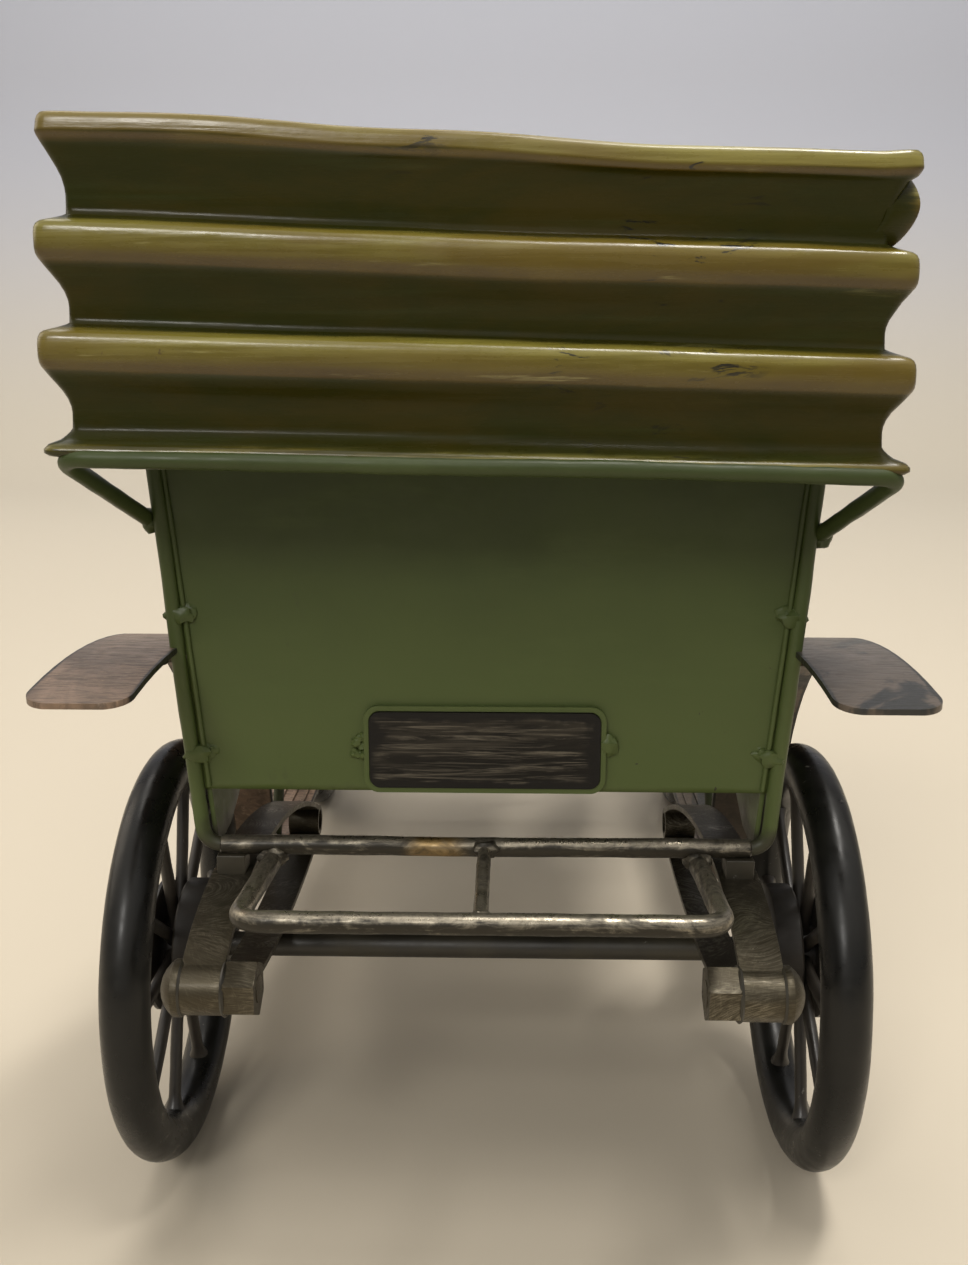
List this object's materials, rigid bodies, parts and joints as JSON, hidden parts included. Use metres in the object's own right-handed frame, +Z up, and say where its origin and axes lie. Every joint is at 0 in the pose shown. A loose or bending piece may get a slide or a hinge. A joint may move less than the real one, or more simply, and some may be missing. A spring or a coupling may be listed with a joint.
{
  "type": "veteran car model",
  "caption": "Sheet-metal table model of an open veteran motor car with a folded pleated hood, spoked wheels, leaf springs and a rear luggage rack.",
  "frame": {"origin": "on the ground under the middle of the whole length, on the centre line", "axes": "+Z up, +Y the way the car drives, +X to its right"},
  "size_m": [0.1278, 0.2893, 0.1766],
  "materials": {
    "green_paint": "satin brushed-on enamel",
    "dark_green_paint": "satin enamel",
    "steel_rod": "antiqued, rubbed bright on top",
    "plate_black": "streaky black brushed paint",
    "aged_brass": "aged",
    "radiator_grey": "dark satin",
    "seat_brown": "satin paint on pressed sheet",
    "hood_olive": "satin, olive yellow on the pleats and dark green between",
    "bronze_sheet": "brushed antique bronze",
    "spring_steel": "dark, hand brushed",
    "black_iron": "dark satin",
    "wheel_black": "satin black",
    "tyre_black": "satin black",
    "wheel_rim_black": "satin",
    "lens_glass": "clear"
  },
  "bodies": {
    "car": {"rear_panel": "green_paint", "side_panel_left": "green_paint", "side_panel_right": "green_paint", "rear_tube_frame": "green_paint", "solder_joints": "green_paint", "number_plate_frame": "green_paint", "bonnet": "green_paint", "hood_rear_bow": "green_paint", "hood_side_struts": "green_paint", "dashboard": "green_paint", "floor_pan": "dark_green_paint", "board_brackets": "dark_green_paint", "rear_cross_bar": "steel_rod", "luggage_rack": "steel_rod", "rack_strut": "steel_rod", "number_plate": "plate_black", "radiator_shell": "aged_brass", "radiator_cap": "aged_brass", "column_tube": "aged_brass", "headlamp_shells": "aged_brass", "radiator_core": "radiator_grey", "front_seat_cushion": "seat_brown", "front_seat_back": "seat_brown", "rear_seat_cushion": "seat_brown", "rear_seat_back": "seat_brown", "hood_cover": "hood_olive", "hood_top_panel": "hood_olive", "rear_mudguard_left": "bronze_sheet", "rear_mudguard_right": "bronze_sheet", "front_mudguard_left": "bronze_sheet", "front_mudguard_right": "bronze_sheet", "running_board_left": "bronze_sheet", "running_board_right": "bronze_sheet", "rear_spring_left": "spring_steel", "rear_spring_right": "spring_steel", "front_spring_left": "spring_steel", "front_spring_right": "spring_steel", "spring_bolts": "spring_steel", "spring_nuts": "spring_steel", "mudguard_studs": "spring_steel", "king_pins": "spring_steel", "chassis_rails": "black_iron", "spring_blocks": "black_iron", "rear_axle": "black_iron", "front_axle": "black_iron", "headlamp_lenses": "lens_glass"},
    "rear_wheel_left": {"tyre_rear_left": "tyre_black", "wheel_rear_left": "wheel_black"},
    "rear_wheel_right": {"tyre_rear_right": "tyre_black", "wheel_rear_right": "wheel_black"},
    "front_wheel_left": {"tyre_front_left": "tyre_black", "wheel_front_left": "wheel_black"},
    "front_wheel_right": {"tyre_front_right": "tyre_black", "wheel_front_right": "wheel_black"},
    "stub_left": {"stub_axle_left": "black_iron"},
    "stub_right": {"stub_axle_right": "black_iron"},
    "track_rod": {"tie_rod": "spring_steel"},
    "steering": {"steering_wheel": "wheel_rim_black"},
    "crank": {"starting_crank": "spring_steel"}
  },
  "joints": [
    {"name": "rear_left_roll", "type": "hinge", "parent": "car", "child": "rear_wheel_left", "pos_m": [-0.0575, -0.0874, 0.038], "axis": [1, 0, 0], "continuous": true},
    {"name": "rear_right_roll", "type": "hinge", "parent": "car", "child": "rear_wheel_right", "pos_m": [0.0575, -0.0874, 0.038], "axis": [1, 0, 0], "continuous": true},
    {"name": "right_king_pin", "type": "hinge", "parent": "car", "child": "stub_right", "pos_m": [0.047, 0.0926, 0.038], "axis": [0, 0, 1], "range_deg": [-15, 15]},
    {"name": "left_king_pin", "type": "hinge", "parent": "car", "child": "stub_left", "pos_m": [-0.047, 0.0926, 0.038], "axis": [0, 0, 1], "range_deg": [-15, 15]},
    {"name": "front_left_roll", "type": "hinge", "parent": "stub_left", "child": "front_wheel_left", "pos_m": [-0.0575, 0.0926, 0.038], "axis": [1, 0, 0], "continuous": true},
    {"name": "front_right_roll", "type": "hinge", "parent": "stub_right", "child": "front_wheel_right", "pos_m": [0.0575, 0.0926, 0.038], "axis": [1, 0, 0], "continuous": true},
    {"name": "track_rod_shift", "type": "slide", "parent": "car", "child": "track_rod", "axis": [1, 0, 0], "range_m": [-0.0033, 0.0033]},
    {"name": "steering_turn", "type": "hinge", "parent": "car", "child": "steering", "pos_m": [0.018, -0.0034, 0.13], "axis": [0, -0.6157, 0.788], "range_deg": [-62, 62]},
    {"name": "crank_turn", "type": "hinge", "parent": "car", "child": "crank", "pos_m": [0, 0.0846, 0.0655], "axis": [0, 1, 0], "continuous": true}
  ],
  "couplings": [
    {"joint": "left_king_pin", "follows": "right_king_pin", "ratio": 1},
    {"joint": "track_rod_shift", "follows": "right_king_pin", "m_per_rad": 0.011863},
    {"joint": "steering_turn", "follows": "right_king_pin", "ratio": 4}
  ]
}
